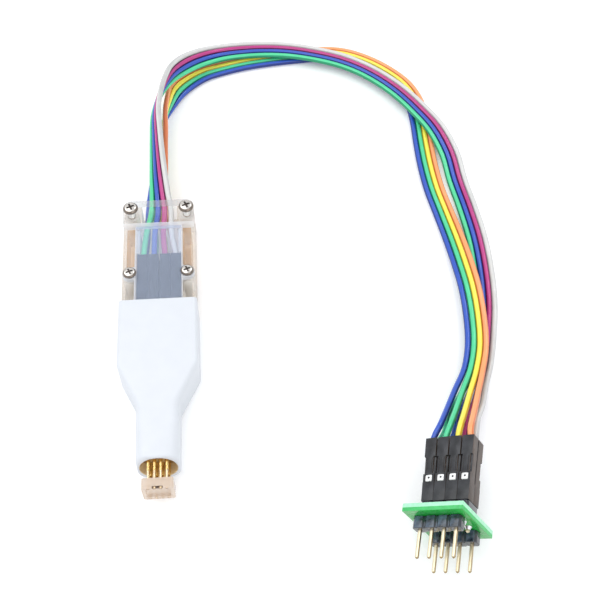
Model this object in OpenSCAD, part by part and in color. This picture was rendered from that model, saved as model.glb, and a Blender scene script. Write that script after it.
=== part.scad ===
// Spring-pin test clip for 8-lead small-outline chips, with a ribbon lead and a dual-in-line adapter.
// The clip lies on its back. Z is up, the spring pins point to -Y, X runs across the pins. Millimetres.

/* [Housing] */
// Width of the white shell
shell_w = 17.6; // [16:0.1:20]
// Width of the clear rear housing
clear_w = 16.8; // [15.6:0.1:17.4]
// Thickness of the shell, and of the clear housing with its bar
body_t = 10.4; // [10:0.1:12]
// Length of the clear rear housing that shows
clear_len = 28.4; // [27:0.1:32]
// Length of the straight part of the shell
shell_len = 16.8; // [14:0.1:22]
// Length of the shell's tapered shoulders
taper_len = 8.5; // [6:0.1:12]
// Length of the nozzle
nozzle_len = 12.9; // [11:0.1:18]
// Width and height of the nozzle
nozzle_w = 9.3; // [9:0.1:10]
// Diameter of the nozzle's bore
nozzle_bore = 7.8; // [7.6:0.1:8.2]
// Rounding of the nozzle's outer edge at its mouth
mouth_round = 0.4; // [0.2:0.1:0.5]
// Wall thickness of the shell
wall = 1.2; // [1:0.1:1.4]
// Length of the bar that clamps the wires
bar_len = 6.8; // [6:0.1:8]

/* [Screws] */
// Distance between the screws, across the housing
screw_span = 13.2; // [12.8:0.1:13.4]
// Distance from the rear edge to the bar's screws
bar_screw_y = 2.4; // [2:0.1:3]
// Distance from the rear edge to the cover's screws
cover_screw_y = 20.3; // [19:0.1:22]
// Head diameter of the bar's screws
bar_head_d = 3.6; // [3.2:0.1:3.8]
// Head diameter of the cover's screws
cover_head_d = 3.1; // [2.6:0.1:3.4]
// Thread diameter of all four screws
thread_d = 1.6; // [1.2:0.1:1.8]

/* [Spring pins] */
// Distance between neighbouring pins, as on the chip
pin_pitch = 1.27; // [1.27:0.01:1.3]
// Distance between the two rows of pins
row_gap = 4.9; // [4.8:0.1:5]
// Outside diameter of a pin's barrel
barrel_d = 0.68; // [0.66:0.01:0.72]
// Diameter of a plunger's shaft
plunger_d = 0.46; // [0.4:0.01:0.48]
// Diameter of a plunger's head
crown_d = 0.6; // [0.56:0.01:0.62]
// Length of a barrel
barrel_len = 13; // [12:0.1:14]
// How far the barrels stand out of the nozzle
barrel_out = 2.7; // [2:0.1:3]
// Travel of a plunger
stroke = 2; // [1:0.1:2.1]

/* [Tip block] */
// Gap between the nozzle and the tip block
block_gap = 3.8; // [3.8:0.1:4.4]
// Length of the tip block along the pins
block_len = 2.2; // [2.2:0.1:3]
// Width of the tip block
block_w = 6.5; // [6:0.1:7.4]
// Height of the tip block
block_h = 6; // [5.9:0.1:6.6]
// Depth of the recess that fits over the chip
nest_depth = 0.6; // [0.3:0.1:0.8]

/* [Connectors] */
// Pitch of the square pins and of the crimp contacts
pitch = 2.54; // [2.54:0.01:2.54]
// Length of the housing of a crimp contact
socket_len = 14; // [13.6:0.1:14.4]
// Width of the housing's collar, at the pin side
collar_w = 2.5; // [2.44:0.01:2.5]
// Width of the housing above its collar
cell_w = 2.24; // [2.1:0.01:2.44]
// Lean of each housing on the adapter against its neighbour, in degrees
fan = 0.9; // [0:0.1:0.9]
// Side of a square pin
pin_sq = 0.64; // [0.6:0.01:0.66]
// Height of a pin header's insulator
base_h = 2.5; // [2.3:0.1:2.6]
// Length of a square pin inside its connector
mate_len = 6; // [5:0.1:6.4]

/* [Ribbon] */
// Diameter of one wire of the ribbon
wire_d = 1.4; // [1.2:0.05:1.45]
// Distance between neighbouring wires of a ribbon
wire_pitch = 1.52; // [1.5:0.01:1.6]
// Rings along one wire
wire_rings = 60; // [40:1:80]

/* [Adapter] */
// Width of the adapter's board
board_w = 12.7; // [12.2:0.1:13.4]
// Depth of the adapter's board, across its rows
board_d = 14.7; // [13:0.1:15.4]
// Thickness of the adapter's board
board_t = 1.6; // [1.2:0.1:1.8]
// Distance between the two rows of the adapter's pins
row_span = 7.62; // [7.62:0.01:7.62]
// Length of the adapter's pins below their strips
dip_len = 5.8; // [4:0.1:7]

/* [Parts] */
// Part that is drawn

/* [Hidden] */
COL = [-1.5, -0.5, 0.5, 1.5];

fit = 0.05;                     // clearance between pieces that sit in each other
zc = body_t / 2;                // height of the clip's axis
total = clear_len + shell_len + taper_len + nozzle_len + block_gap + block_len;
mouth_w = nozzle_w - 2 * mouth_round;
y_rear = total / 2;             // rear face of the clear housing
y_step = y_rear - clear_len;    // rear edge of the shell
y_sh = y_step - shell_len;      // where the shoulders start
y_noz = y_sh - taper_len;       // where the nozzle starts
y_mouth = y_noz - nozzle_len;   // mouth of the nozzle
y_blk = y_mouth - block_gap;    // rear face of the tip block
y_tip = y_blk - block_len;      // front face of the tip block

// crimp connector in the clear housing
sock_w = 4 * pitch;
sock_h = 2 * pitch;
y_mate = y_step + 0.4;          // its mating face
y_cable = y_mate + socket_len;  // its cable end
term_end = 12;                  // end of a crimp, from the mating face
collar_len = 4;
latch_w = 1.5;
latch_len = 3.8;
window_y = 4.2;
window_len = 1.5;

// clear housing
top_z = zc + sock_h / 2 + 0.1;  // top of the frame, under bar and cover
bar_t = body_t - top_z;
cover_t = 1.3;
tongue = 5;
pocket_w = 1.9;
post_d = 3.4;
corner = 2;
sx = screw_span / 2;
y_bs = y_rear - bar_screw_y;
y_cs = y_rear - cover_screw_y;
hole_d = thread_d + 2 * fit;

// spring pins
y_bar = y_mouth - barrel_out;   // front end of the barrels
lip = 0.3;
crown_len = 1;
tail_len = 2;
notch_w = 2.2;
tail_d = barrel_d - 0.14;
carrier_in = 1.8;               // depth of the carrier's front face in the nozzle
carrier_len = barrel_len - barrel_out - carrier_in - 0.5;
y_car = y_mouth + carrier_in;
spring_y0 = y_bar + lip + 0.02 + tail_len + stroke + 0.1;
spring_y1 = y_bar + barrel_len - 0.7;

// adapter
yaw = -14.9;
roll = 32.8;
ad_lift = (board_w / 2) * sin(roll) + (board_d / 2) * cos(roll) + 0.05;
ad_pos = [56.9, -48.4, ad_lift];
ad_x = [cos(yaw) * cos(roll), sin(yaw) * cos(roll), sin(roll)];
ad_y = [-sin(yaw), cos(yaw), 0];
ad_z = [-cos(yaw) * sin(roll), -sin(yaw) * sin(roll), cos(roll)];
ad_mate = board_t + base_h + 0.1;
function ad(x, y, z) = ad_pos + x * ad_x + y * ad_y + z * ad_z;

// Each row of a route is the ribbon's middle, its bank and its pitch. A bank of 0 has wire 4 on the right
// of the way to the adapter, 90 has it on top, and 180 on the left.
p = wire_pitch;
function leave(z) = [
    [0, y_mate + term_end, z, 0, pitch], [0, y_cable - 0.9, z, 0, pitch], [0, y_cable + 0.2, z, 0, pitch],
    [-0.2, y_rear - 7.3, z, 0, 2]];
// y is the distance from the mating face, along which the leaning housings spread
function spread(y, z, w, x = 0) =
    concat(ad(x - 1.5 * y * tan(fan), ad_mate + y, z), [180 - roll, w + y * tan(fan)]);
function arrive(z) = [
    spread(socket_len + 3, z, 2.1, 0.5), spread(socket_len + 0.4, z, pitch), spread(term_end + 0.1, z, pitch)];
ROUTE_A = concat(leave(zc - pitch / 2), [
    [-0.9, 35.5, 3.9, 6, 1.56], [-0.9, 42, 4.2, 18, p], [-0.5, 49, 4.3, 35, p], [0, 57, 4.2, 55, p],
    [0.6, 64, 4, 72, p], [0.8, 70.5, 3.7, 82, p], [2.1, 76, 3.2, 106, p], [3.9, 81.4, 2.4, 138, p],
    [7.1, 85.8, 1.5, 160, p], [11.5, 89.2, 1.1, 172, p], [17, 91.4, 0.8, 178, p], [23, 93, 0.8, 180, p],
    [30, 94.2, 0.8, 180, p], [37.5, 95, 0.8, 180, p], [45, 95.4, 0.8, 180, p], [51, 94.6, 0.8, 180, p],
    [57, 91.6, 0.8, 180, p], [62.5, 87, 0.8, 180, p], [66.8, 81.5, 0.8, 180, p], [69, 75, 0.8, 180, p],
    [69.5, 67.5, 0.8, 180, p], [69.3, 60, 0.8, 180, p], [69.3, 52, 0.8, 180, p], [69.8, 44, 0.8, 180, p],
    [71, 36, 0.8, 178, p], [72.1, 28, 1.2, 170, p], [72.8, 20, 2, 164, p], [73.2, 12, 2.6, 168, p],
    [73, 4, 2.6, 172, p], [72, -4, 2.8, 172, p], [69.8, -11, 3.6, 165, p], [66.7, -17.5, 5.8, 158, 1.75],
    [64, -23.2, 8.4, 151, 2.1]], arrive(pitch / 2));
ROUTE_B = concat(leave(zc + pitch / 2), [
    [0.3, 35.5, 6.4, 6, 1.62], [0, 41, 7, 20, p], [-0.4, 47, 7.4, 36, p], [-0.8, 54, 7.2, 48, p],
    [-1.1, 61, 7.2, 56, p], [-1.2, 68.1, 7.6, 64, p], [-0.1, 74, 8.4, 74, p], [1.7, 78.8, 8.7, 89, p],
    [3.8, 82.8, 8.2, 108, p], [7, 87.1, 6.8, 130, p], [11.1, 91.2, 5, 148, p], [16.2, 94.2, 3.6, 164, p],
    [22, 95.6, 3, 170, p], [29, 95.9, 2.8, 174, p], [36, 95.1, 2.8, 176, p], [43, 93.2, 2.8, 178, p],
    [49.6, 90.6, 2.8, 178, p], [55.4, 87, 2.8, 180, p], [60.6, 82.4, 2.8, 180, p], [65.3, 76.8, 2.8, 180, p],
    [69.3, 70.4, 2.8, 180, p], [72.9, 63.2, 2.8, 178, p], [75.4, 55, 1.8, 178, p], [76.2, 46.5, 0.8, 180, p],
    [77.3, 37, 0.8, 180, p], [78, 27.5, 0.8, 180, p], [77.8, 18, 0.8, 180, p], [76.9, 9, 0.8, 180, p],
    [75.2, 1, 0.8, 180, p], [73, -7, 0.8, 180, p], [70.4, -13.6, 1.4, 172, p], [67.5, -19.2, 3.8, 162, 1.9],
    [64.6, -23.8, 6.8, 153, 2.3]], arrive(-pitch / 2));

function row_at(t, i) = t[max(0, min(len(t) - 1, i))];
function curve(a, b, c, d, u) = 0.5 * (2 * b + (c - a) * u + (2 * a - 5 * b + 4 * c - d) * u * u
    + (3 * b - a - 3 * c + d) * u * u * u);
function along(t, s) = let (i = min(floor(s), len(t) - 2))
    curve(row_at(t, i - 1), row_at(t, i), row_at(t, i + 1), row_at(t, i + 2), s - i);
function mid(t, s) = let (r = along(t, s)) [r[0], r[1], r[2]];
function unit(v) = v / norm(v);
function side(t, s) = let (
    d = mid(t, min(s + 0.05, len(t) - 1)) - mid(t, max(s - 0.05, 0)),
    right = unit([d[1], -d[0], 0]), b = along(t, s)[3]) right * cos(b) + [0, 0, sin(b)];
function wire_at(t, k, s) = mid(t, s) + k * along(t, s)[4] * side(t, s);
function wire_ring(t, k, s) = let (
    c = wire_at(t, k, s),
    d = unit(wire_at(t, k, min(s + 0.05, len(t) - 1)) - wire_at(t, k, max(s - 0.05, 0))),
    v = unit(cross(cross(d, side(t, s)), d)), w = cross(d, v))
    [for (j = [0:7]) c + wire_d / 2 * (cos(45 * j + 22.5) * v + sin(45 * j + 22.5) * w)];
function tube_faces(n, m) = concat(
    [[for (j = [0:m - 1]) j]],
    [for (i = [0:n - 2], j = [0:m - 1], h = [0, 1]) let (a = i * m + j, b = i * m + (j + 1) % m)
        h == 0 ? [a, a + m, b] : [b, a + m, b + m]],
    [[for (j = [m - 1:-1:0]) (n - 1) * m + j]]);

module wire(t, k) {
    last = len(t) - 1;
    // the first and last ring stand square to the crimps that they meet
    s = [for (i = [0:wire_rings - 1]) last * i / (wire_rings - 1)];
    polyhedron([for (x = s) each wire_ring(t, k, x)], tube_faces(len(s), 8), convexity = 4);
}

// rounded rectangle across the clip's axis, extruded towards -Y
module slab(y, l, w, h, r) {
    translate([0, y, zc]) rotate([90, 0, 0]) linear_extrude(l) {
        square([w - 2 * r, h], center = true);
        square([w, h - 2 * r], center = true);
        for (a = [-1, 1], b = [-1, 1]) translate([a * (w / 2 - r), b * (h / 2 - r)]) circle(r, $fn = 32);
    }
}
// the four corners of such a rectangle, to be hulled
module corners(y, w, h, r) {
    for (a = [-1, 1], b = [-1, 1]) rod(a * (w / 2 - r), y, zc + b * (h / 2 - r), 0.02, 2 * r, 32);
}
// round bar along -Y from y, at x and z
module rod(x, y, z, l, d, f = 16) {
    translate([x, y, z]) rotate([90, 0, 0]) cylinder(h = l, d = d, $fn = f);
}
// one of the eight pins' places: 0 to 3 are the upper row, 4 to 7 the lower one
function pin_x(i) = COL[i % 4] * pin_pitch;
function pin_z(i) = zc + (i < 4 ? 1 : -1) * row_gap / 2;

module white_shell() color([0.93, 0.95, 0.98]) difference() {
    union() {
        slab(y_step, shell_len, shell_w, body_t, 1.4);
        hull() {
            corners(y_sh, shell_w, body_t, 1.4);
            corners(y_noz + 0.02, nozzle_w, nozzle_w, 2);
        }
        hull() {
            corners(y_noz + 0.02, nozzle_w, nozzle_w, 2);
            corners(y_mouth + mouth_round, nozzle_w, nozzle_w, 3.4);
            corners(y_mouth + 0.3 * mouth_round, mouth_w + 1.4 * mouth_round, mouth_w + 1.4 * mouth_round, 3.4);
            corners(y_mouth + 0.02, mouth_w, mouth_w, 3.4);
        }
    }
    slab(y_step + 1, shell_len + 0.8, shell_w - 2 * wall, body_t - 2 * wall, 0.6);
    hull() {
        corners(y_sh + 0.3, shell_w - 2 * wall, body_t - 2 * wall, 0.6);
        rod(0, y_noz + 0.5, zc, 0.02, nozzle_bore - 0.4, 32);
    }
    rod(0, y_noz + 1, zc, nozzle_len + 2, nozzle_bore, 48);
}

module frame_outline() {
    translate([-clear_w / 2, y_step]) square([clear_w, clear_len - corner]);
    translate([-clear_w / 2 + corner, y_step]) square([clear_w - 2 * corner, clear_len]);
    for (s = [-1, 1]) translate([s * (clear_w / 2 - corner), y_rear - corner]) circle(corner, $fn = 32);
}

module rear_frame() color([0.93, 0.86, 0.8, 0.4]) difference() {
    union() {
        linear_extrude(top_z) frame_outline();
        slab(y_step + 0.01, tongue, shell_w - 2 * wall - 2 * fit, body_t - 2 * wall - 2 * fit, 0.55);
    }
    // channel for the connector, open on top behind the tongue
    translate([-sock_w / 2 - fit, y_step - tongue - 1, zc - sock_h / 2 - fit])
        cube([sock_w + 2 * fit, y_cable - y_step + tongue + 1.3, sock_h + 2 * fit]);
    translate([-sock_w / 2 - fit, y_step + 0.3, zc]) cube([sock_w + 2 * fit, y_cable - y_step, body_t]);
    // chamber and throat for the wires
    translate([-sock_w / 2 - fit, y_cable - 1, zc - sock_h / 2 - fit])
        cube([sock_w + 2 * fit, y_rear - bar_len - y_cable + 1, body_t]);
    translate([-4.2, y_rear - bar_len - 1, zc - sock_h / 2 - fit]) cube([8.4, bar_len + 2, body_t]);
    for (s = [-1, 1]) {
        translate([s * (sock_w / 2 + 1.5) - pocket_w / 2, y_cs + post_d / 2 + 0.4, wall])
            cube([pocket_w, y_rear - bar_len - y_cs - post_d / 2 - 0.4, body_t]);
        // shallow pockets in front of the posts
        translate([s * (sock_w / 2 + 1.6) - 1, y_step + 1, wall])
            cube([2, y_cs - post_d / 2 - y_step - 1.4, body_t]);
        for (y = [y_bs, y_cs]) translate([s * sx, y, top_z - 5]) cylinder(h = 6, d = hole_d, $fn = 24);
    }
}

module cable_clamp() color([0.93, 0.88, 0.84, 0.4]) difference() {
    translate([0, 0, top_z + 0.02]) linear_extrude(bar_t - 0.02) intersection() {
        frame_outline();
        translate([-clear_w, y_rear - bar_len]) square([2 * clear_w, bar_len + 1]);
    }
    for (s = [-1, 1]) translate([s * sx, y_bs, top_z - 1]) cylinder(h = bar_t + 2, d = hole_d, $fn = 24);
}

module socket_cover() color([0.93, 0.95, 0.97, 0.6]) translate([0, 0, top_z + 0.02]) difference() {
    linear_extrude(cover_t) {
        translate([-5.5, y_step + 0.1]) square([11, clear_len - bar_len - 0.2]);
        for (s = [-1, 1]) translate([s * sx, y_cs]) circle(d = post_d, $fn = 32);
        translate([-sx, y_cs - post_d / 2]) square([2 * sx, post_d]);
    }
    for (s = [-1, 1]) translate([s * sx, y_cs, -1]) cylinder(h = cover_t + 2, d = hole_d, $fn = 24);
}

// pan-head screw with a cross recess, its head standing on z
module screw(x, y, z, head, l) {
    k = 0.36 * head;
    translate([x, y, z + 0.02]) difference() {
        union() {
            cylinder(h = 0.5 * k, d = head, $fn = 32);
            translate([0, 0, 0.5 * k]) cylinder(h = 0.5 * k, d1 = head, d2 = 0.62 * head, $fn = 32);
            translate([0, 0, -l]) cylinder(h = l + 0.1, d = thread_d, $fn = 24);
        }
        for (a = [45, 135]) rotate([0, 0, a]) translate([-0.26 * head, -0.22, 0.45 * k])
            cube([0.52 * head, 0.44, k]);
    }
}
module clamp_screws() color([0.72, 0.7, 0.66]) for (s = [-1, 1]) screw(s * sx, y_bs, body_t, bar_head_d, 6);
module cover_screws() color([0.72, 0.7, 0.66])
    for (s = [-1, 1]) screw(s * sx, y_cs, top_z + 0.02 + cover_t, cover_head_d, 5);

// places what belongs to each of the 4 by 2 contacts: mating face at y = 0, cable end at +Y, latches outside
module each_contact(lean = 0) for (i = [0:3], z = [-1, 1])
    translate([COL[i] * pitch, 0, z * pitch / 2]) rotate([0, 0, (3 - i) * lean])
        mirror([0, 0, z < 0 ? 1 : 0]) children();
// housing of one contact, its latch on the +Z side
module cell() difference() {
    union() {
        translate([-collar_w / 2, 0, -collar_w / 2]) cube([collar_w, collar_len, collar_w]);
        translate([-cell_w / 2, 0, -cell_w / 2]) cube([cell_w, socket_len, (cell_w + collar_w) / 2]);
    }
    translate([-0.85, 1.2, -0.85]) cube([1.7, socket_len, 1.7]);
    translate([-0.5, -1, -0.5]) cube([1, 3, 1]);
    // window behind the latch, and the low ground on both sides of the latch
    translate([-latch_w / 2, window_y, 0]) cube([latch_w, window_len, collar_w]);
    for (s = [0, 1]) mirror([s, 0, 0])
        translate([latch_w / 2, window_y + window_len + 0.2, cell_w / 2 - 0.2]) cube([1, latch_len, 1]);
}
module socket(lean = 0) each_contact(lean) cell();
// the eight crimp contacts
module terminals(lean = 0) each_contact(lean) {
    difference() {
        translate([-0.8, 1.4, -0.8]) cube([1.6, 6.6, 1.6]);
        translate([-0.65, 1, -0.65]) cube([1.3, 6.6, 1.3]);
    }
    rod(0, term_end, 0, term_end - 8, 1.3);
}
// insulator of a pin header, nx by nz pins, its top at y = 0, with a notched outline
module header(nx, nz, h, hole) difference() {
    rotate([90, 0, 0]) linear_extrude(h) for (i = [0:nx - 1])
        translate([(i - nx / 2) * pitch, -nz * pitch / 2]) polygon([
            [0, 0.45], [0.45, 0], [pitch - 0.45, 0], [pitch, 0.45],
            [pitch, nz * pitch - 0.45], [pitch - 0.45, nz * pitch], [0.45, nz * pitch], [0, nz * pitch - 0.45]]);
    for (i = [0:nx - 1], j = [0:nz - 1])
        translate([(i - (nx - 1) / 2) * pitch, 0, (j - (nz - 1) / 2) * pitch])
            cube([hole, 3 * h, hole], center = true);
}
// square pin along Y from y0 up to y1, with pointed ends
module square_pin(x, y0, y1, z) {
    e = 0.3;
    translate([x, y0, z]) rotate([-90, 45, 0]) {
        cylinder(h = e, d1 = 0.5 * pin_sq, d2 = pin_sq * sqrt(2), $fn = 4);
        translate([0, 0, e]) cylinder(h = y1 - y0 - 2 * e, d = pin_sq * sqrt(2), $fn = 4);
        translate([0, 0, y1 - y0 - e]) cylinder(h = e, d1 = pin_sq * sqrt(2), d2 = 0.5 * pin_sq, $fn = 4);
    }
}

module clip_socket() color([0.16, 0.16, 0.17]) translate([0, y_mate, zc]) socket();
module clip_terminals() color([0.8, 0.72, 0.5]) translate([0, y_mate, zc]) terminals();
module inner_header() color([0.1, 0.1, 0.1]) translate([0, y_mate - 0.05, zc]) header(4, 2, base_h, pin_sq + 0.06);
module inner_pins() color([0.85, 0.7, 0.35]) for (c = COL, z = [-1, 1])
    square_pin(c * pitch, y_mate - base_h - 3, y_mate + mate_len, zc + z * pitch / 2);
module inner_leads() color([0.75, 0.45, 0.25]) for (i = [0:7]) {
    a = [COL[i % 4] * pitch, y_mate - base_h - 3.1, zc + (i < 4 ? 1 : -1) * pitch / 2];
    b = [pin_x(i), y_bar + barrel_len + 1.6, pin_z(i)];
    v = b - a;
    translate(a) rotate([0, acos(v[2] / norm(v)), atan2(v[1], v[0])]) cylinder(h = norm(v), d = 0.4, $fn = 16);
}
module pin_carrier() color([0.2, 0.19, 0.18]) difference() {
    rod(0, y_car + carrier_len, zc, carrier_len, nozzle_bore - 2 * fit, 48);
    for (i = [0:7]) rod(pin_x(i), y_car + carrier_len + 1, pin_z(i), carrier_len + 2, barrel_d + 0.06);
}
module pogo_barrels() color([0.83, 0.66, 0.3]) for (i = [0:7]) {
    difference() {
        rod(pin_x(i), y_bar + barrel_len, pin_z(i), barrel_len, barrel_d);
        rod(pin_x(i), y_bar + barrel_len - 0.5, pin_z(i), barrel_len - 0.5 - lip, barrel_d - 0.1);
        rod(pin_x(i), y_bar + 1, pin_z(i), 2, plunger_d + 0.04);
    }
    rod(pin_x(i), y_bar + barrel_len + 1.5, pin_z(i), 1.52, 0.4);
}
// coil of n turns about the -Y axis at x and z
function coil_ring(x, z, s, n) = let (a = 360 * n * s, y = spring_y0 + (spring_y1 - spring_y0) * s)
    [for (t = [0, 120, 240]) let (r = 0.2 + 0.04 * cos(t))
        [x + r * cos(a), y + 0.04 * sin(t), z + r * sin(a)]];
module plunger_springs() color([0.6, 0.6, 0.62]) for (i = [0:7]) {
    n = 8;
    polyhedron([for (s = [0:6 * n]) each coil_ring(pin_x(i), pin_z(i), s / (6 * n), n)],
        tube_faces(6 * n + 1, 3), convexity = 6);
}
module plunger(i) color([0.88, 0.72, 0.36]) {
    rod(pin_x(i), y_bar + lip + 0.02 + tail_len, pin_z(i), tail_len, tail_d);
    rod(pin_x(i), y_bar + lip + 0.1, pin_z(i), y_bar + lip + 0.1 - y_tip - crown_len, plunger_d);
    rod(pin_x(i), y_tip + crown_len, pin_z(i), crown_len - 0.35, crown_d);
    translate([pin_x(i), y_tip + 0.35, pin_z(i)]) rotate([90, 0, 0])
        cylinder(h = 0.3, d1 = crown_d, d2 = 0.25 * crown_d, $fn = 16);
}
module plunger_1() plunger(0);
module plunger_2() plunger(1);
module plunger_3() plunger(2);
module plunger_4() plunger(3);
module plunger_5() plunger(4);
module plunger_6() plunger(5);
module plunger_7() plunger(6);
module plunger_8() plunger(7);
module tip_block() color([0.93, 0.92, 0.9, 0.4]) difference() {
    slab(y_blk, block_len, block_w, block_h, 0.5);
    translate([-2.5, y_tip - 1, zc - 1.98]) cube([5, nest_depth + 1, 3.96]);
    for (i = [0:7]) rod(pin_x(i), y_blk + 1, pin_z(i), block_len + 2, crown_d + 0.1);
    // sight notch in the middle of the upper front edge
    translate([-notch_w / 2, y_tip - 1, zc + block_h / 2 - 0.4]) cube([notch_w, 1.4, 1]);
}

module wire_a1() color([0.2, 0.35, 0.85]) wire(ROUTE_A, COL[0]);
module wire_a2() color([0.25, 0.8, 0.55]) wire(ROUTE_A, COL[1]);
module wire_a3() color([0.98, 0.92, 0.3]) wire(ROUTE_A, COL[2]);
module wire_a4() color([0.98, 0.6, 0.35]) wire(ROUTE_A, COL[3]);
module wire_b1() color([0.25, 0.8, 0.55]) wire(ROUTE_B, COL[0]);
module wire_b2() color([0.2, 0.35, 0.85]) wire(ROUTE_B, COL[1]);
module wire_b3() color([0.75, 0.2, 0.55]) wire(ROUTE_B, COL[2]);
module wire_b4() color([0.93, 0.93, 0.92]) wire(ROUTE_B, COL[3]);

// adapter's own axes: X across four pins, pins point to -Y, origin in the middle of the board's pin side
module on_adapter() translate(ad_pos) rotate([0, 0, yaw]) rotate([0, -roll, 0]) children();
module adapter_socket() color([0.16, 0.16, 0.17]) on_adapter() translate([0, ad_mate, 0]) socket(fan);
module adapter_terminals() color([0.85, 0.85, 0.83]) on_adapter() translate([0, ad_mate, 0]) terminals(fan);
module header_base() color([0.1, 0.1, 0.1]) on_adapter()
    translate([0, board_t + base_h, 0]) header(4, 2, base_h - 0.02, pin_sq + 0.06);
module header_pins() color([0.85, 0.7, 0.35]) on_adapter() for (c = COL, z = [-1, 1])
    square_pin(c * pitch, -1.2, ad_mate + mate_len, z * pitch / 2);
module adapter_board() color([0.2, 0.75, 0.4]) on_adapter() difference() {
    translate([-board_w / 2, 0, -board_d / 2]) cube([board_w, board_t, board_d]);
    for (c = COL, z = [-row_span, -pitch, pitch, row_span] / 2) rod(c * pitch, board_t + 1, z, board_t + 2, 1);
}
module pin_strips() color([0.1, 0.1, 0.1]) on_adapter() for (z = [-1, 1])
    translate([0, -0.02, z * row_span / 2]) header(4, 1, base_h, pin_sq + 0.06);
module dip_pins() color([0.85, 0.75, 0.5]) on_adapter() for (c = COL, z = [-1, 1])
    square_pin(c * pitch, -base_h - dip_len, board_t + 1, z * row_span / 2);
module solder_joints() color([0.75, 0.76, 0.78]) on_adapter() for (c = COL, z = [-1, 1]) {
    translate([c * pitch, board_t + 0.01, z * row_span / 2]) rotate([-90, 0, 0]) joint();
    translate([c * pitch, -0.01, z * pitch / 2]) rotate([90, 0, 0]) joint();
}
module joint() difference() {
    cylinder(h = 0.6, d1 = 1.6, d2 = 1.05, $fn = 20);
    cube([pin_sq + 0.04, pin_sq + 0.04, 3], center = true);
}

white_shell();
rear_frame();
cable_clamp();
socket_cover();
clamp_screws();
cover_screws();
clip_socket();
clip_terminals();
inner_header();
inner_pins();
inner_leads();
pin_carrier();
pogo_barrels();
plunger_springs();
plunger_1();
plunger_2();
plunger_3();
plunger_4();
plunger_5();
plunger_6();
plunger_7();
plunger_8();
tip_block();
wire_a1();
wire_a2();
wire_a3();
wire_a4();
wire_b1();
wire_b2();
wire_b3();
wire_b4();
adapter_socket();
adapter_terminals();
header_base();
header_pins();
adapter_board();
pin_strips();
dip_pins();
solder_joints();
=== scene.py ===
import bpy, bmesh, math
from mathutils import Vector, Matrix

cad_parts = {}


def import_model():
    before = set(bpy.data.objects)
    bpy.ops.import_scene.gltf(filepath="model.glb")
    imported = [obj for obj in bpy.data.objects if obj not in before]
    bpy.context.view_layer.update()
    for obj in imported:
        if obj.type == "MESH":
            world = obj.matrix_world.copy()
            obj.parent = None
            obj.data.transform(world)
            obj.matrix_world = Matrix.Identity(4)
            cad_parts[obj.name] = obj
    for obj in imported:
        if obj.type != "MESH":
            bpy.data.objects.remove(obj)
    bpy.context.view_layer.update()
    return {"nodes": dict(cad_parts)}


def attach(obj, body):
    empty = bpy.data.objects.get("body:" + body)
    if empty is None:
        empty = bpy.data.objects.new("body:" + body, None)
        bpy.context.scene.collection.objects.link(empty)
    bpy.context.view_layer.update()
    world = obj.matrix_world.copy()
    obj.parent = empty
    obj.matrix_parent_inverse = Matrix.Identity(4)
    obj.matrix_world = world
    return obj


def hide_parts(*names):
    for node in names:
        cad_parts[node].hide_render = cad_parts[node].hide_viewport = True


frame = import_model()
MM = 0.001
NODES = frame["nodes"]

# Sizes and places are in millimetres, and become metres in obj() and with MM.
PITCH = 2.54            # of the crimp housings and the adapter's pins
ZC = 5.2                # height of the probe's axis

# ---------------------------------------------------------------- camera
CAMERA_AT = (19.0, -110.6, 188.3)
CAMERA_TURN, CAMERA_TILT, CAMERA_ROLL = -6.34, 56.7, 2.44   # degrees
LENS, SENSOR = 56.7, 36

def camera_axes(turn, tilt, roll):
    """The camera's right, up and backward directions."""
    a, e, r = (math.radians(v) for v in (turn, tilt, roll))
    right = Vector((math.cos(a), math.sin(a), 0))
    ahead = Vector((-math.sin(a) * math.cos(e), math.cos(a) * math.cos(e), -math.sin(e)))
    up = right.cross(ahead)
    return math.cos(r) * right + math.sin(r) * up, -math.sin(r) * right + math.cos(r) * up, -ahead

cam_data = bpy.data.cameras.new("camera")
cam_data.sensor_width, cam_data.lens = SENSOR, LENS
cam_data.clip_start, cam_data.clip_end = 0.01, 10
cam = bpy.data.objects.new("camera", cam_data)
bpy.context.scene.collection.objects.link(cam)
turn = Matrix([list(v) for v in camera_axes(CAMERA_TURN, CAMERA_TILT, CAMERA_ROLL)]).transposed().to_4x4()
cam.matrix_world = Matrix.Translation(Vector(CAMERA_AT) * MM) @ turn
bpy.context.scene.camera = cam

# ---------------------------------------------------------------- materials
BUMP_SCALE = 2500       # 1/m
BUMP_DEPTH = 0.0002     # m
ROUGH_VARY = 0.05       # roughness goes this far up and down
SHADOW_CUT = 0.75       # share of its shadow that clear plastic loses
FLOOR_LIFT = 0.14       # extra brightness of the floor, for the camera alone

def add_node(tree, kind, **values):
    """Adds a shader node and sets its inputs."""
    n = tree.nodes.new("ShaderNode" + kind)
    for k, v in values.items():
        n.inputs[k.replace("_", " ")].default_value = v
    return n

def compute(tree, operation, *terms):
    """Adds a Math node. Its terms are numbers or other nodes' outputs."""
    n = add_node(tree, "Math")
    n.operation = operation
    for socket, term in zip(n.inputs, terms):
        if isinstance(term, (int, float)):
            socket.default_value = term
        else:
            tree.links.new(term, socket)
    return n.outputs["Value"]

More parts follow.
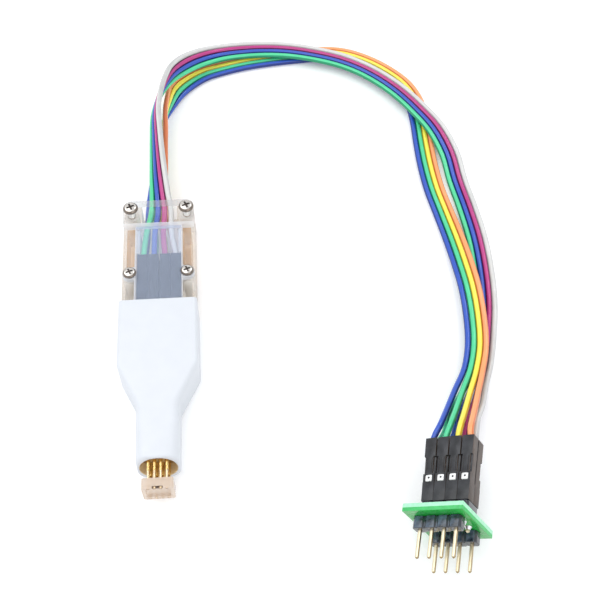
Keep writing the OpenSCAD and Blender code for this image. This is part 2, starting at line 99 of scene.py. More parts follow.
def mat(name, color, rough=0.4, metal=0.0, vary=0.04, scale=900, bump=0.02, **extra):
    """Principled material with fine noise in its colour, roughness and bump. scale is in 1/m."""
    mt = bpy.data.materials.new(name)
    mt.use_nodes = True
    tree = mt.node_tree
    shader = tree.nodes["Principled BSDF"]
    place = add_node(tree, "TexCoord").outputs["Object"]
    noise = add_node(tree, "TexNoise", Scale=scale, Detail=4)
    tree.links.new(place, noise.inputs["Vector"])
    ramp = add_node(tree, "ValToRGB")
    for stop, at, share in zip(ramp.color_ramp.elements, (0.3, 0.7), (1 - vary, 1 + vary)):
        stop.position = at
        stop.color = (*[min(max(c * share, 0), 1) for c in color], 1)
    tree.links.new(noise.outputs["Fac"], ramp.inputs["Fac"])
    tree.links.new(ramp.outputs["Color"], shader.inputs["Base Color"])
    gloss = add_node(tree, "MapRange", To_Min=max(0.02, rough - ROUGH_VARY), To_Max=min(1, rough + ROUGH_VARY))
    tree.links.new(noise.outputs["Fac"], gloss.inputs["Value"])
    tree.links.new(gloss.outputs["Result"], shader.inputs["Roughness"])
    grain = add_node(tree, "TexNoise", Scale=BUMP_SCALE, Detail=3)
    tree.links.new(place, grain.inputs["Vector"])
    relief = add_node(tree, "Bump", Strength=bump, Distance=BUMP_DEPTH)
    tree.links.new(grain.outputs["Fac"], relief.inputs["Height"])
    tree.links.new(relief.outputs["Normal"], shader.inputs["Normal"])
    shader.inputs["Metallic"].default_value = metal
    for k, v in extra.items():
        shader.inputs[k.replace("_", " ")].default_value = v
    return mt

def clear(name, color, alpha, edge, rough=0.15):
    """Clear plastic: thin where it is looked through, denser and brighter at grazing edges."""
    mt = mat(name, color, rough, vary=0.03, scale=500, bump=0.03)
    tree = mt.node_tree
    facing = add_node(tree, "LayerWeight", Blend=0.35)
    density = add_node(tree, "MapRange", To_Min=alpha, To_Max=edge)
    tree.links.new(facing.outputs["Facing"], density.inputs["Value"])
    # clear plastic passes most of the light on, so its shadow is thin
    ray = add_node(tree, "LightPath")
    thin = compute(tree, "MULTIPLY_ADD", ray.outputs["Is Shadow Ray"], -SHADOW_CUT, 1.0)
    opacity = compute(tree, "MULTIPLY", density.outputs["Result"], thin)
    tree.links.new(opacity, tree.nodes["Principled BSDF"].inputs["Alpha"])
    return mt

M = {
    "shell": mat("white_abs", (0.70, 0.725, 0.765), 0.42, vary=0.015, scale=300, bump=0.02),
    # painted reflection and shade: the white bore's inside is a warm tan, standing for the gold pins' reflection and
    # the shade in the bore
    "bore": mat("bore_painted_reflection", (0.84, 0.68, 0.42), 0.4, vary=0.15, scale=500),
    "clear": clear("clear_frame", (0.93, 0.78, 0.61), 0.18, 0.55),
    "wall_bar": clear("clear_wall_bar", (0.74, 0.72, 0.74), 0.3, 0.6),
    "wall_front": clear("clear_wall_front", (0.99, 0.93, 0.86), 0.6, 0.75),
    "wall": clear("clear_wall", (0.56, 0.45, 0.36), 0.3, 0.6),
    "pocket": clear("clear_pocket", (0.84, 0.56, 0.31), 0.48, 0.64),
    "lip": clear("clear_lip", (0.97, 0.98, 1.0), 0.6, 0.9),
    "rib": clear("clear_rib", (0.96, 0.97, 0.98), 0.4, 0.8),
    "post": clear("clear_post", (0.95, 0.95, 0.95), 0.6, 0.95),
    "clamp": clear("clear_clamp", (0.90, 0.93, 1.0), 0.0, 0.3),
    "frost": clear("frosted_cover", (0.66, 0.77, 1.0), 0.13, 0.5, rough=0.4),
    "ear": clear("frosted_ear", (0.84, 0.86, 0.90), 0.4, 0.8, rough=0.4),
    "tip": clear("tip_clear", (0.76, 0.62, 0.50), 0.6, 0.92, rough=0.1),
    "tip_shaded_notch": mat("tip_notch_painted_shade", (0.10, 0.06, 0.04), 0.3),
    # the screw heads' colours are painted light: a dark reflection on the rim, a highlight on the top and shade in the
    # recess
    "screw": mat("screw_rim_painted_dark_reflection", (0.24, 0.20, 0.17), 0.25, 1.0, vary=0.2, scale=1500, bump=0.06),
    "screw_top_painted_highlight": mat("screw_top_painted_highlight", (0.74, 0.70, 0.65), 0.25, 1.0, vary=0.15, scale=1500, bump=0.08),
    "screw_cut_painted_shade": mat("screw_hollow_painted_shade", (0.10, 0.08, 0.07), 0.3, 1.0, vary=0.3, scale=1500, bump=0.06),
    "shank": mat("screw_shank", (0.86, 0.84, 0.80), 0.3, 0.5, vary=0.08, scale=1500, bump=0.06),
    "nylon": mat("nylon_black", (0.028, 0.029, 0.033), 0.3, vary=0.55, scale=420, bump=0.08),
    "nylon_lit_side": mat("nylon_lit_side", (0.075, 0.052, 0.04), 0.42, vary=0.3, scale=600, bump=0.08),
    "header": mat("header_black", (0.022, 0.026, 0.034), 0.2, vary=0.2, scale=700, bump=0.03,
                  Coat_Weight=0.7, Coat_Roughness=0.06),
    "strip": mat("header_front_painted_highlights", (0.055, 0.08, 0.115), 0.15, vary=0.95, scale=650, bump=0.05,
                 Coat_Weight=0.7, Coat_Roughness=0.06),
    "tongue": mat("contact_white", (0.93, 0.93, 0.92), 0.3, 0.35, vary=0.03),
    "dot": mat("contact_dot_painted_shade", (0.22, 0.22, 0.23), 0.4, 0.6),
    "tin": mat("contact_tin", (0.86, 0.85, 0.82), 0.25, 1.0, vary=0.05),
    "gold": mat("gold_barrel", (0.83, 0.60, 0.24), 0.22, 1.0, vary=0.1, scale=1200),
    "gold2": mat("gold_plunger", (0.90, 0.72, 0.48), 0.2, 1.0, vary=0.1, scale=1200),
    "pin": mat("pin_gold", (0.90, 0.80, 0.57), 0.36, 1.0, vary=0.05, scale=700, bump=0.02),
    "pin_shaded_side": mat("pin_gold_painted_shade", (0.42, 0.32, 0.18), 0.3, 1.0, vary=0.1, scale=700),
    "carrier": mat("carrier", (0.42, 0.26, 0.10), 0.35, vary=0.3, scale=900),
    "steel": mat("spring_steel", (0.6, 0.6, 0.62), 0.25, 1.0),
    "copper": mat("lead_copper", (0.75, 0.4, 0.2), 0.3, 1.0),
    "board": mat("board_green", (0.015, 0.38, 0.05), 0.28, vary=0.12, scale=600, bump=0.04, Coat_Weight=0.4),
    "edge": mat("board_edge", (0.42, 0.86, 0.58), 0.5, vary=0.1, scale=1500, bump=0.1),
    "edge_low": mat("board_edge_low", (0.06, 0.52, 0.14), 0.4, vary=0.12, scale=1500, bump=0.08),
    "solder": mat("solder", (0.75, 0.76, 0.78), 0.2, 1.0, vary=0.06),
}
# painted shade: each wire's flanks get a darker copy of its colour, for the shade between neighbouring wires
WIRE = {  # a wire's colour, and the darker one of its flanks
    "blue": ((0.020, 0.085, 0.50), (0.008, 0.03, 0.22)),
    "green": ((0.07, 0.66, 0.31), (0.015, 0.30, 0.14)),
    "yellow": ((0.98, 0.84, 0.08), (0.72, 0.50, 0.03)),
    "orange": ((0.96, 0.38, 0.15), (0.72, 0.20, 0.07)),
    "magenta": ((0.50, 0.03, 0.22), (0.16, 0.010, 0.08)),
    "white": ((0.66, 0.66, 0.64), (0.54, 0.54, 0.53)),
}
for k, (top, shade_colour) in WIRE.items():
    M[k] = mat("pvc_" + k, top, 0.25, vary=0.04, scale=400, bump=0.03, Coat_Weight=0.4, Coat_Roughness=0.12)
    M[k + "_painted_shade"] = mat("pvc_painted_shade_" + k, shade_colour, 0.3, vary=0.06, scale=400, bump=0.03)

# ---------------------------------------------------------------- mesh helpers
def link(name, me, material):
    """Puts a mesh into the scene as an object, with one material or a list of them."""
    o = bpy.data.objects.new(name, me)
    bpy.context.scene.collection.objects.link(o)
    for mt in (material if isinstance(material, (list, tuple)) else [material]):
        me.materials.append(mt)
    return o

def obj(name, verts, faces, material):
    """Object from points in millimetres."""
    me = bpy.data.meshes.new(name)
    me.from_pydata([tuple(c * MM for c in v) for v in verts], [], faces)
    me.validate()
    bm = bmesh.new()
    bm.from_mesh(me)
    bmesh.ops.recalc_face_normals(bm, faces=bm.faces)
    bm.to_mesh(me)
    bm.free()
    return link(name, me, material)

def bake(o):
    """Applies an object's modifiers."""
    dg = bpy.context.evaluated_depsgraph_get()
    dg.update()
    me = bpy.data.meshes.new_from_object(o.evaluated_get(dg))
    old = o.data
    o.modifiers.clear()
    o.data = me
    bpy.data.meshes.remove(old)
    return o

def shade(o, angle=40):
    """Smooth, with sharp edges where the surface turns by more than the angle."""
    for p in o.data.polygons:
        p.use_smooth = True
    o.data.set_sharp_from_angle(angle=math.radians(angle))
    return o

def soften(o, width, segments):
    """Bevels an object's edges."""
    b = o.modifiers.new("bevel", "BEVEL")
    b.width = width * MM
    b.segments = segments
    b.limit_method = "ANGLE"
    b.angle_limit = math.radians(30)
    return bake(o)

def merge(parts):
    """One mesh of several closed shapes, each (verts, faces)."""
    v, f = [], []
    for pv, pf in parts:
        f += [tuple(i + len(v) for i in q) for q in pf]
        v += pv
    return v, f

def join(name, parts, material):
    """Object of several closed shapes, smooth where it turns slowly."""
    return shade(obj(name, *merge(parts), material))

def gather(name, meshes, material):
    """Object of several meshes, which it uses up."""
    bm = bmesh.new()
    for part in meshes:
        bm.from_mesh(part)
        bpy.data.meshes.remove(part)
    me = bpy.data.meshes.new(name)
    bm.to_mesh(me)
    bm.free()
    return link(name, me, material)

def ring_faces(k, n, closed=False):
    """Faces between k rings of n points each, and from the last back to the first where closed."""
    return [(a * n + i, a * n + (i + 1) % n, b * n + (i + 1) % n, b * n + i)
            for a, b in ((q, (q + 1) % k) for q in range(k if closed else k - 1)) for i in range(n)]

def circle(r, n):
    return [(r * math.cos(2 * math.pi * i / n), r * math.sin(2 * math.pi * i / n)) for i in range(n)]

def box_m(x0, y0, z0, x1, y1, z1):
    v = [(x, y, z) for z in (z0, z1) for y in (y0, y1) for x in (x0, x1)]
    return v, [(0, 2, 3, 1), (4, 5, 7, 6), (0, 1, 5, 4), (1, 3, 7, 5), (3, 2, 6, 7), (2, 0, 4, 6)]

def lathe_m(profile, n, x, y):
    """Turned shape on an upright axis, from (radius, height) pairs that start and end on the axis."""
    rings = profile[1:-1]
    v = [(0, 0, profile[0][1])] + [(a, b, h) for r, h in rings for a, b in circle(r, n)] + [(0, 0, profile[-1][1])]
    last, top = len(v) - 1, 1 + (len(rings) - 1) * n
    f = []
    for i in range(n):
        j = (i + 1) % n
        f.append((0, 1 + j, 1 + i))
        for a in range(1, top, n):
            f.append((a + i, a + j, a + n + j, a + n + i))
        f.append((top + i, top + j, last))
    return [(a + x, b + y, h) for a, b, h in v], f

def tube_m(profile, n, x, other, axis):
    """Hollow turned shape with a closed profile of (radius, place along the axis), which is "y" or "z"."""
    v = [(x + a, other + b, h) if axis == "z" else (x + a, h, other + b) for r, h in profile for a, b in circle(r, n)]
    return v, ring_faces(len(profile), n, True)

def carve(o, parts, mode="DIFFERENCE"):
    """Cuts closed shapes out of an object, or adds them."""
    c = obj("cut", *merge(parts), M["carrier"])
    b = o.modifiers.new("bool", "BOOLEAN")
    b.object, b.operation, b.solver, b.use_self = c, mode, "EXACT", True
    bake(o)
    bpy.data.objects.remove(c)
    return o

def split(o, at, normal):
    """Cuts the object's faces along a plane, in metres, so that each side can have its own material."""
    bm = bmesh.new()
    bm.from_mesh(o.data)
    bmesh.ops.bisect_plane(bm, geom=bm.verts[:] + bm.edges[:] + bm.faces[:], plane_co=at, plane_no=normal)
    bm.to_mesh(o.data)
    bm.free()

def by_place(o, slot, test, place=Matrix.Identity(4)):
    """Gives the material slot to the faces whose centre (mm) and normal, as seen from place, pass the test."""
    back, turned = place.inverted(), place.to_3x3().transposed()
    for p in o.data.polygons:
        if test((back @ p.center) / MM, turned @ p.normal):
            p.material_index = slot

def skin(name, node, material, width, segments=2):
    """A copy of a CAD node's mesh with its flat faces joined and its edges softened."""
    bm = bmesh.new()
    bm.from_mesh(NODES[node].data)
    bmesh.ops.remove_doubles(bm, verts=bm.verts, dist=2e-6)
    bmesh.ops.dissolve_limit(bm, angle_limit=math.radians(1), verts=bm.verts, edges=bm.edges)
    me = bpy.data.meshes.new(name)
    bm.to_mesh(me)
    bm.free()
    return shade(soften(link(name, me, material), width, segments))

def piece(o, body, slot, *nodes):
    """A piece rides on the body of the CAD nodes that it replaces or sits in."""
    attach(o, body)
    if nodes:
        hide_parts(*nodes)
    return o

# ---------------------------------------------------------------- wires
# The routes are those in the part's source, at a closer pitch.
P = 1.38                # pitch of the ribbons' wires, which touch
WIRE_R = 0.68
SIDES, STEPS = 16, 4    # faces round a wire, and steps between two rows of its route
SHADE_FLANK_COS = 0.8             # how far to the side a face looks to be flank
YAW, ROLL, FAN = math.radians(-14.9), math.radians(32.8), math.radians(0.9)
# the board's lowest edge, 6.35 mm to the side of the adapter's axis and 7.35 mm below it, is 0.05 mm up
LIFT = 6.35 * math.sin(ROLL) + 7.35 * math.cos(ROLL) + 0.05

def adapter_place(unit):
    at = Vector((56.9, -48.4, LIFT)) * unit
    return Matrix.Translation(at) @ Matrix.Rotation(YAW, 4, "Z") @ Matrix.Rotation(-ROLL, 4, "Y")

AD = adapter_place(1)       # the adapter's own frame in millimetres
ADM = adapter_place(MM)     # and in metres

MATE, SOCKET, TERM = 4.2, 14, 12    # mating face, and lengths of a housing and of a terminal

def spread(y, z, w, x=0):
    """Ribbon's row at y from the mating face: the leaning housings spread the wires."""
    place = AD @ Vector((x - 1.5 * y * math.tan(FAN), MATE + y, z))
    return list(place) + [180 - math.degrees(ROLL), w + y * math.tan(FAN)]

def leave(z):
    return [[0, 20.3, z, 0, PITCH], [0, 21.4, z, 0, PITCH], [0, 22.5, z, 0, PITCH], [-0.2, 29, z, 0, 2.0]]

def arrive(z):
    return [spread(SOCKET + 3, z, 2.1, 0.5), spread(SOCKET + 0.4, z, PITCH), spread(TERM + 0.1, z, PITCH)]

# rows of x, y, z, the ribbon's bank in degrees and its pitch
ROUTE_A = leave(3.93) + [
    [-0.9, 35.5, 3.9, 6, 1.56], [-0.9, 42, 4.2, 18, P], [-0.5, 49, 4.3, 35, P], [0, 57, 4.2, 55, P],
    [0.6, 64, 4, 72, P], [0.8, 70.5, 3.7, 82, P], [2.1, 76, 3.2, 106, P], [3.9, 81.4, 2.4, 138, P],
    [7.1, 85.8, 1.5, 160, P], [11.5, 89.2, 1.1, 172, P], [17, 91.4, 0.8, 178, P], [23, 93, 0.8, 180, P],
    [30, 94.2, 0.8, 180, P], [37.5, 95, 0.8, 180, P], [45, 95.4, 0.8, 180, P], [51, 94.6, 0.8, 180, P],
    [57, 91.6, 0.8, 180, P], [62.5, 87, 0.8, 180, P], [66.8, 81.5, 0.8, 180, P], [69, 75, 0.8, 180, P],
    [69.5, 67.5, 0.8, 180, P], [69.3, 60, 0.8, 180, P], [69.3, 52, 0.8, 180, P], [69.8, 44, 0.8, 180, P],
    [71, 36, 0.8, 178, P], [72.1, 28, 1.2, 170, P], [72.8, 20, 2, 164, P], [73.2, 12, 2.6, 168, P],
    [73, 4, 2.6, 172, P], [72, -4, 2.8, 172, P], [69.8, -11, 3.6, 165, P], [66.7, -17.5, 5.8, 158, 1.75],
    [64, -23.2, 8.4, 151, 2.1]] + arrive(1.27)
ROUTE_B = leave(6.47) + [
    [0.3, 35.5, 6.4, 6, 1.62], [0, 41, 7, 20, P], [-0.4, 47, 7.4, 36, P], [-0.8, 54, 7.2, 48, P],
    [-1.1, 61, 7.2, 56, P], [-1.2, 68.1, 7.6, 64, P], [-0.1, 74, 8.4, 74, P], [1.7, 78.8, 8.7, 89, P],
    [3.8, 82.8, 8.2, 108, P], [7, 87.1, 6.8, 130, P], [11.1, 91.2, 5, 148, P], [16.2, 94.2, 3.6, 164, P],
    [22, 95.6, 3, 170, P], [29, 95.9, 2.8, 174, P], [36, 95.1, 2.8, 176, P], [43, 93.2, 2.8, 178, P],
    [49.6, 90.6, 2.8, 178, P], [55.4, 87, 2.8, 180, P], [60.6, 82.4, 2.8, 180, P], [65.3, 76.8, 2.8, 180, P],
    [69.3, 70.4, 2.8, 180, P], [72.9, 63.2, 2.8, 178, P], [75.4, 55, 1.8, 178, P], [76.2, 46.5, 0.8, 180, P],
    [77.3, 37, 0.8, 180, P], [78, 27.5, 0.8, 180, P], [77.8, 18, 0.8, 180, P], [76.9, 9, 0.8, 180, P],
    [75.2, 1, 0.8, 180, P], [73, -7, 0.8, 180, P], [70.4, -13.6, 1.4, 172, P], [67.5, -19.2, 3.8, 162, 1.9],
    [64.6, -23.8, 6.8, 153, 2.3]] + arrive(-1.27)

def along(t, s):
    """The route t at s rows from its start, on a smooth curve through the rows."""
    i = min(int(s), len(t) - 2)
    u = s - i
    a, b, c, d = t[max(i - 1, 0)], t[i], t[i + 1], t[min(i + 2, len(t) - 1)]
    return [0.5 * (2 * q + (r - p) * u + (2 * p - 5 * q + 4 * r - w) * u * u + (3 * q - p - 3 * r + w) * u ** 3)
            for p, q, r, w in zip(a, b, c, d)]

def side(t, s):
    """Direction across the ribbon."""
    a, b = along(t, max(s - 0.05, 0)), along(t, min(s + 0.05, len(t) - 1))
    right = Vector((b[1] - a[1], a[0] - b[0], 0)).normalized()
    bank = math.radians(along(t, s)[3])
    return right * math.cos(bank) + Vector((0, 0, math.sin(bank)))

def wire_at(t, k, s):
    """Middle of the wire that lies k pitches to the side."""
    r = along(t, s)
    return Vector(r[:3]) + k * r[4] * side(t, s)

def wire(name, t, k, colour):
    last = len(t) - 1
    v, path = [], []
    for q in range(STEPS * last + 1):
        s = last * q / (STEPS * last)
        c = wire_at(t, k, s)
        d = (wire_at(t, k, min(s + 0.05, last)) - wire_at(t, k, max(s - 0.05, 0))).normalized()
        u = (d.cross(side(t, s))).cross(d).normalized()
        w = d.cross(u)
        path.append(tuple(c * MM))
        v += [tuple(c + WIRE_R * (a * u + b * w)) for a, b in circle(1, SIDES)]
    walls = ring_faces(len(path), SIDES)
    ends = [tuple(range(SIDES)), tuple(range(len(v) - SIDES, len(v)))]
    o = shade(obj("skin_" + name, v, walls + ends, [M[colour], M[colour + "_painted_shade"]]), 50)
    # painted shade: the flanks in the ribbon's plane, which face the neighbouring wires, are darker, but not in the
    # clear housing
    for p in o.data.polygons[:len(walls)]:
        housed = p.center.x < 0.01 and p.center.y < 0.037
        if not housed and abs(math.cos(2 * math.pi * (p.index % SIDES + 0.5) / SIDES)) > SHADE_FLANK_COS:
            p.material_index = 1
    piece(o, "clip", "wire_" + colour, name)
    length = sum((Vector(b) - Vector(a)).length for a, b in zip(path, path[1:]))
    return o, path, length

for row, t, colours in (("a", ROUTE_A, ("blue", "green", "yellow", "orange")),
                        ("b", ROUTE_B, ("green", "blue", "magenta", "white"))):
    for i, c in enumerate(colours):
        wire(f"wire_{row}{i + 1}", t, i - 1.5, c)

# ---------------------------------------------------------------- white shell
BODY_W, BODY_H, BODY_R = 17.6, 10.4, 0.95
NOZZLE_W = 9.1
TAPER_FROM, TAPER_TO, NOZZLE_TO = -8.3, -18.0, -29.6
LIP = 0.9               # how far the mouth's lower lip stands forward

def rr(w, h, r, y):
    """Rounded rectangle across the probe's axis, with 9 points on each corner."""
    pts = []
    for cx, cz, a0 in ((1, 1, 0), (-1, 1, 90), (-1, -1, 180), (1, -1, 270)):
        for i in range(9):
            a = math.radians(a0 + 90 * i / 8)
            pts.append((cx * (w / 2 - r) + r * math.cos(a), y, ZC + cz * (h / 2 - r) + r * math.sin(a)))
    return pts

def ease(u):
    return u * u * (3 - 2 * u)

# the open rear end, from inside round its edge
rings = [rr(15.2, 8.0, 0.6, 6.5), rr(15.2, 8.0, 0.6, 7.75), rr(15.4, 8.2, 0.7, 7.9),
         rr(17.4, 10.2, 0.85, 7.9), rr(17.56, 10.36, 0.92, 7.84), rr(BODY_W, BODY_H, BODY_R, 7.7)]
rings += [rr(BODY_W, BODY_H, BODY_R, y) for y in (4, 0, -4, TAPER_FROM)]
# a straight taper with slightly soft ends
for i in range(1, 17):
    u = i / 16
    straight = min(max((u - 0.03) / 0.94, 0), 1)
    k = straight + 0.06 * (ease(u) - straight)
    rings.append(rr(BODY_W - (BODY_W - NOZZLE_W) * k, BODY_H - (BODY_H - NOZZLE_W) * k, BODY_R + 0.5 * k,
                    TAPER_FROM + (TAPER_TO - TAPER_FROM) * u))
# the nozzle gets rounder towards its mouth
for i in range(1, 9):
    u = i / 8
    rings.append(rr(NOZZLE_W, NOZZLE_W, 1.45 + 1.15 * ease(u), TAPER_TO + (NOZZLE_TO - TAPER_TO) * u))
# round the mouth's edge and back along the bore
for w, r, y in ((NOZZLE_W, 2.7, -29.85), (8.98, 2.85, -30.05), (8.72, 3.1, -30.22), (8.35, 3.5, -30.3),
                (8.0, 3.9, -30.3), (7.8, 3.89, -30.15), (7.8, 3.89, -29.0), (7.8, 3.89, -19)):
    rings.append(rr(w, w, r, y))
rings = [[(x, y - LIP * (ZC + NOZZLE_W / 2 - z) / NOZZLE_W if y < -29.5 else y, z) for x, y, z in ring]
         for ring in rings]
shell = shade(obj("shell_skin", [p for ring in rings for p in ring], ring_faces(len(rings), len(rings[0])),
                  [M["shell"], M["bore"]]))
# painted reflection and shade: the faces inside the bore get the warm tan
by_place(shell, 1, lambda c, n: -31.2 < c.y < -18 and math.hypot(c.x, c.z - ZC) < 3.96)
piece(shell, "clip", "shell_white", "white_shell")

# ---------------------------------------------------------------- clear rear housing
SCREW_X = 6.6
COVER_Y, BAR_Y = 16.0, 33.9         # screws of the cover and of the bar
POST_FROM, POST_TO = 13.9, 18       # the cover screws' posts, between two side pockets
EAR_X = 5.3                         # the cover's ears start here

def pocket(c):
    return 5.4 < abs(c.x) < 7.7 and 8.6 < c.y < 29.7 and c.z < 7.7

housing = skin("frame_clear", "rear_frame", [M["clear"], M["pocket"], M["rib"], M["wall"], M["wall_front"]], 0.16)
by_place(housing, 1, lambda c, n: pocket(c) and not POST_FROM < c.y < POST_TO)
by_place(housing, 4, lambda c, n: pocket(c) and c.y < POST_FROM)
by_place(housing, 2, lambda c, n: abs(c.x) < 5.3 and 22 < c.y < 29.6 and abs(n.x) > 0.5)
by_place(housing, 3, lambda c, n: c.y > 8 and (abs(c.x) > 8.3 or c.y > 36.2) and abs(n.z) < 0.5)
piece(housing, "clip", "clear_frame", "rear_frame")
# ribs along the chamber, seen inside the clear plastic
ribs = [box_m(x, 22.5, 2.7, x + 1, 29.3, 7.8) for x in (-5.5, 4.5)]
piece(soften(join("ribs", ribs, M["rib"]), 0.15, 2), "clip", "clear_frame")

bar = skin("bar_clear", "cable_clamp", [M["clamp"], M["lip"], M["wall_bar"]], 0.22, 3)
by_place(bar, 1, lambda c, n: c.y < 29.9 and n.y < -0.3)
by_place(bar, 2, lambda c, n: abs(n.z) < 0.6 and (abs(c.x) > 7.6 or c.y > 36))
piece(bar, "clip", "clear_clamp", "cable_clamp")

cover = skin("cover_frost", "socket_cover", [M["frost"], M["ear"]], 0.18, 3)
for x in (-EAR_X, EAR_X):
    split(cover, Vector((x, 0, 0)) * MM, Vector((1, 0, 0)))
# faces with holes in them have centres of little use, so the middle of a face's x-range counts
for p in cover.data.polygons:
    xs = [cover.data.vertices[i].co.x for i in p.vertices]
    if abs(min(xs) + max(xs)) / 2 > (EAR_X - 0.01) * MM:
        p.material_index = 1
piece(cover, "clip", "frosted_cover", "socket_cover")

# bosses round the four screws, seen inside the clear plastic
BOSS = [(0.95, 2.2), (1.0, 2.0), (1.72, 2.0), (1.78, 2.2), (1.78, 7.3), (1.7, 7.6), (0.95, 7.6)]
bosses = [tube_m(BOSS, 28, x, y, "z") for y in (BAR_Y, COVER_Y) for x in (-SCREW_X, SCREW_X)]
piece(join("bosses", bosses, M["post"]), "clip", "clear_frame")

# ---------------------------------------------------------------- screws
# edge of the head from its top to its seat: shares of its radius and of its height
HEAD = ((0, 1), (0.3, 0.99), (0.62, 0.9), (0.76, 0.8), (0.84, 0.68), (0.95, 0.45), (1, 0.2), (0.98, 0.03), (0.93, 0))
CREST, ROOT, TURN = 0.8, 0.62, 0.36     # radii and pitch of the thread, which is drawn as rings

def screws(name, y, z, head, length, node):
    """Two pan-head screws at one y, whose heads sit at z, each with a cross recess."""
    r, k = head / 2, 0.25 * head
    profile = [(a * r, z + b * k) for a, b in HEAD] + [(CREST, z)]
    at = z - 0.15
    while at > z - length + 0.6:
        profile += [(ROOT, at), (CREST, at - 0.17), (ROOT, at - 0.34)]
        at -= TURN
    profile += [(0.6, z - length + 0.4), (0.2, z - length), (0, z - length)]
    meshes = []
    for x in (-SCREW_X, SCREW_X):
        o = obj("screw", *lathe_m(profile, 40, x, y), [M["screw"], M["screw_top_painted_highlight"], M["screw_cut_painted_shade"], M["shank"]])
        cuts = []
        for a in (22, 112):
            c, q = math.cos(math.radians(a)), math.sin(math.radians(a))
            v = []
            # each arm of the recess narrows towards its floor
            for half_l, half_w, h in ((0.8 * 0.62 * r, 0.6 * 0.17 * r, 0.68), (0.62 * r, 0.17 * r, 1.3)):
                v += [(x + c * u - q * w, y + q * u + c * w, z + h * k)
                      for u, w in ((-half_l, -half_w), (half_l, -half_w), (half_l, half_w), (-half_l, half_w))]
            cuts.append((v, [(3, 2, 1, 0), (4, 5, 6, 7), (0, 1, 5, 4), (1, 2, 6, 5), (2, 3, 7, 6), (3, 0, 4, 7)]))
        shade(carve(o, cuts), 32)
        # painted light: faces in the cross recess are dark as painted shade, the dome's top is bright as a painted
        # highlight, and the rest of the head stays dark as a painted dark reflection
        for p in o.data.polygons:
            c = p.center / MM
            rad = math.hypot(c.x - x, c.y - y)
            if c.z > z + 0.6 * k and rad < 0.66 * r and (p.normal.z < 0.75 or c.z < z + 0.75 * k):
                p.material_index = 2
            elif c.z > z + 0.42 * k and rad < 0.74 * r:
                p.material_index = 1
            elif c.z < z - 0.02:
                p.material_index = 3
        meshes.append(o.data)
        materials = list(o.data.materials)
        bpy.data.objects.remove(o)
    piece(gather(name, meshes, materials), "clip", "screw_nickel", node)

screws("screws_bar", BAR_Y, 10.42, 3.6, 6, "clamp_screws")
screws("screws_cover", COVER_Y, 9.2, 3.1, 5, "cover_screws")

# ---------------------------------------------------------------- crimp housings
def cell(width, windows):
    """Housing of one contact: mating face at y = 0, latch on +Z. windows adds the contact's window and the
    latch's slots."""
    o = obj("cell", *box_m(-width / 2, 3.6, -1.12, width / 2, SOCKET, 1.22), [M["nylon"], M["nylon_lit_side"]])
    carve(o, [box_m(-1.25, 0, -1.25, 1.25, 4.0, 1.25)], "UNION")
    cuts = [box_m(-0.85, 13, -0.85, 0.85, 15, 0.85), box_m(-0.5, -1, -0.5, 0.5, 1, 0.5)]
    if windows:
        cuts.append(box_m(-0.8, 4.15, 0.55, 0.8, 5.75, 2))
        for s in (-1, 1):
            cuts.append(box_m(min(s * 0.78, s * 1.4), 5.9, 0.7, max(s * 0.78, s * 1.4), 9.75, 2))
            cuts.append(box_m(s * 0.5 - 0.07, 6.1, 1.1, s * 0.5 + 0.07, 9.4, 2))
    carve(o, cuts)
    return soften(o, 0.1, 2)

def eight(name, src, place, lean=0, part=0):
    """Eight copies of src, which it uses up, in 2 rows of 4 with the lower row upside down. lean turns the
    columns apart like a fan, and part moves each half of them to its side."""
    meshes = []
    for i in range(4):
        for z in (-1, 1):
            x = (i - 1.5) * PITCH + (part if i > 1 else -part)
            me = src.data.copy()
            me.transform(place @ Matrix.Translation(Vector((x, 0, z * PITCH / 2)) * MM)
                         @ Matrix.Rotation((3 - i) * lean, 4, "Z") @ Matrix.Diagonal((1, 1, z, 1)))
            if z < 0:
                me.flip_normals()
            meshes.append(me)
    materials = list(src.data.materials)
    bpy.data.objects.remove(src)
    return shade(gather(name, meshes, materials))

CLIP_MATE = Matrix.Translation(Vector((0, 8.3, ZC)) * MM)
ADAPTER_MATE = ADM @ Matrix.Translation(Vector((0, MATE, 0)) * MM)
piece(eight("cells_clip", cell(2.44, False), CLIP_MATE, part=0.11), "clip", "nylon_black", "clip_socket")
# the adapter's housings and contacts stay on the wires when the adapter is pulled out
cells = eight("cells_adapter", cell(2.42, True), ADAPTER_MATE, FAN)
# painted light: the housings' sides that face the adapter's +x are a lighter brown than the black nylon
by_place(cells, 1, lambda c, n: n.x > 0.6, ADM)
piece(cells, "clip", "nylon_black", "adapter_socket")

# contact metal in the windows: a rounded tongue with a punched dot
tongue = obj("tongue", *box_m(-0.79, 4.16, 0.5, 0.79, 5.74, 1.3), [M["tongue"], M["dot"]])
soften(tongue, 0.38, 4)
carve(tongue, [lathe_m([(0, 1.0), (0.2, 1.0), (0.24, 1.5), (0, 1.5)], 12, 0.1, 4.95)])
# painted shade: the walls and floor of the punched dot's hollow are dark
by_place(tongue, 1, lambda c, n: math.hypot(c.x - 0.1, c.y - 4.95) < 0.25 and c.z < 1.295)
piece(eight("tongues_adapter", tongue, ADAPTER_MATE, FAN), "clip", "contact_tin")

# ---------------------------------------------------------------- adapter's board, strips and pins
board = skin("board_green", "adapter_board", [M["board"], M["edge"], M["edge_low"]], 0.2)
# the rim has two bands: next to the housings it is paler, on the sides that face up and to the right; this pale band
# is partly the board's own pale edge and partly painted light
ys = [(ADM.inverted() @ v.co).y for v in board.data.vertices]
half = min(ys) + 0.48 * (max(ys) - min(ys))
split(board, ADM @ Vector((0, half, 0)), ADM.to_3x3() @ Vector((0, 1, 0)))

def rim(c, n):
    return abs(n.y) < 0.8 and (abs(c.x) > 6.2 or abs(c.z) > 7.2)

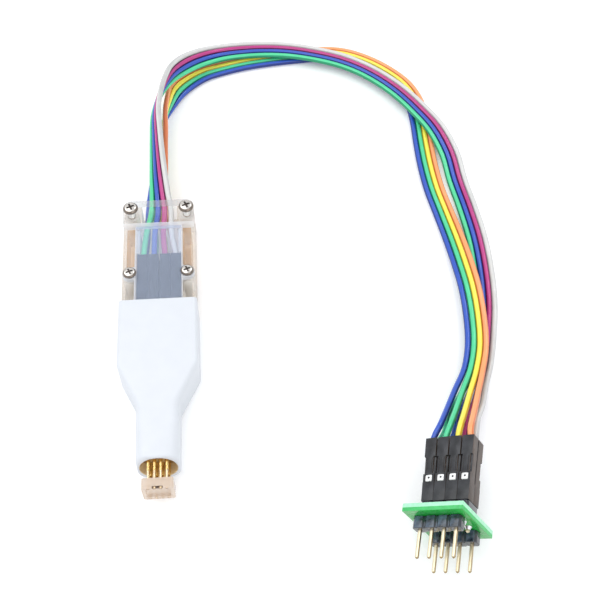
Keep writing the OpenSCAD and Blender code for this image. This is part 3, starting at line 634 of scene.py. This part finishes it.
by_place(board, 2, rim, ADM)
by_place(board, 1, lambda c, n: rim(c, n) and c.y * MM > half and (n.z > 0.3 or n.x > 0.5), ADM)
piece(board, "adapter", "board_green", "adapter_board")
strips = skin("strips_black", "pin_strips", [M["header"], M["strip"]], 0.22, 4)
# painted highlights: the strips' faces that look along the adapter's +z get a mottled dark to light blue
by_place(strips, 1, lambda c, n: n.z > 0.8, ADM)
piece(strips, "adapter", "header_black", "pin_strips")
base = skin("base_black", "header_base", M["header"], 0.2, 4)
piece(base, "adapter", "header_black", "header_base")
pins = skin("pins_dip", "dip_pins", [M["pin"], M["pin_shaded_side"]], 0.1, 3)
# painted shade: the pins' sides that face along the adapter's x, and their faces below y = -8, are a dark brown gold
by_place(pins, 1, lambda c, n: abs(n.x) > 0.5 or c.y < -8.0, ADM)
piece(pins, "adapter", "gold", "dip_pins")

# ---------------------------------------------------------------- spring pins and tip block
PIN_PITCH, PIN_ROW = 1.27, 2.45
# a barrel's wall from its rounded front edge and crimped groove to the tail, and back inside
BARREL = [(0.285, -32.28), (0.31, -32.36), (0.335, -32.3), (0.34, -32.1), (0.34, -31.6), (0.315, -31.5),
          (0.315, -31.4), (0.34, -31.3), (0.34, -20.1), (0.3, -20.0), (0.2, -20.0), (0.2, -18.6), (0.14, -18.6),
          (0.14, -20.4), (0.285, -20.5)]
barrels = [tube_m(BARREL, 20, (i - 1.5) * PIN_PITCH, ZC + z, "y") for z in (PIN_ROW, -PIN_ROW) for i in range(4)]
piece(join("barrels_gold", barrels, M["gold"]), "clip", "gold", "pogo_barrels")
tip = skin("tip_clear", "tip_block", [M["tip"], M["tip_shaded_notch"]], 0.16, 3)
top = max(v.co.z for v in tip.data.vertices) / MM
front = min(v.co.y for v in tip.data.vertices) / MM
# painted shade: the notch in the front's upper edge is dark
by_place(tip, 1, lambda c, n: abs(c.x) < 1.15 and top - 0.6 < c.z < top - 0.05 and front < c.y < front + 0.6
         and (n.y < -0.4 or n.z > 0.4))
piece(tip, "tip_block", "tip_clear", "tip_block")

# ---------------------------------------------------------------- CAD nodes that stay
PAINT = {"pin_carrier": "carrier", "plunger_springs": "steel", "clip_terminals": "tin", "adapter_terminals": "tin",
         "inner_header": "header", "inner_pins": "gold", "inner_leads": "copper", "header_pins": "pin",
         "solder_joints": "solder", **{f"plunger_{i}": "gold2" for i in range(1, 9)}}
for name, material in PAINT.items():
    NODES[name].data.materials.clear()
    NODES[name].data.materials.append(M[material])

# ---------------------------------------------------------------- stage
floor_pale = mat("floor_pale", (0.96, 0.96, 0.96), 0.8, vary=0.004, scale=20, bump=0.0)
floor = obj("floor", [(-900, -900, 0), (900, -900, 0), (900, 900, 0), (-900, 900, 0)], [(0, 1, 2, 3)], floor_pale)
# the camera sees the floor a little whiter, as in the photograph; its shadows stay
tree = floor_pale.node_tree
shader = tree.nodes["Principled BSDF"]
ray = add_node(tree, "LightPath")
tree.links.new(compute(tree, "MULTIPLY", ray.outputs["Is Camera Ray"], FLOOR_LIFT), shader.inputs["Emission Strength"])
shader.inputs["Emission Color"].default_value = (1, 1, 1, 1)

world = bpy.data.worlds.new("studio")
bpy.context.scene.world = world
world.use_nodes = True
sky = world.node_tree.nodes["Background"]
sky.inputs["Color"].default_value = (0.95, 0.97, 1, 1)
sky.inputs["Strength"].default_value = 0.88

def lamp(name, at, target, size, power):
    """Round area lamp, with its places and size in metres."""
    light = bpy.data.lights.new(name, "AREA")
    light.shape, light.size, light.energy = "DISK", size, power
    o = bpy.data.objects.new(name, light)
    bpy.context.scene.collection.objects.link(o)
    o.location = at
    o.rotation_euler = (Vector(target) - Vector(at)).to_track_quat("-Z", "Y").to_euler()

lamp("key", (-0.35, 0.1, 0.7), (0.03, 0.02, 0), 0.9, 2.6)
lamp("fill", (0.4, -0.5, 0.5), (0.03, 0, 0), 0.6, 1.0)
# small and weak, opposite the camera: the long highlights on wires, screws and pins
lamp("streak", (0.36, 0.42, 0.60), (0.02, 0.02, 0), 0.2, 0.45)
bpy.context.scene.view_settings.view_transform = "Standard"

bpy.context.view_layer.update()
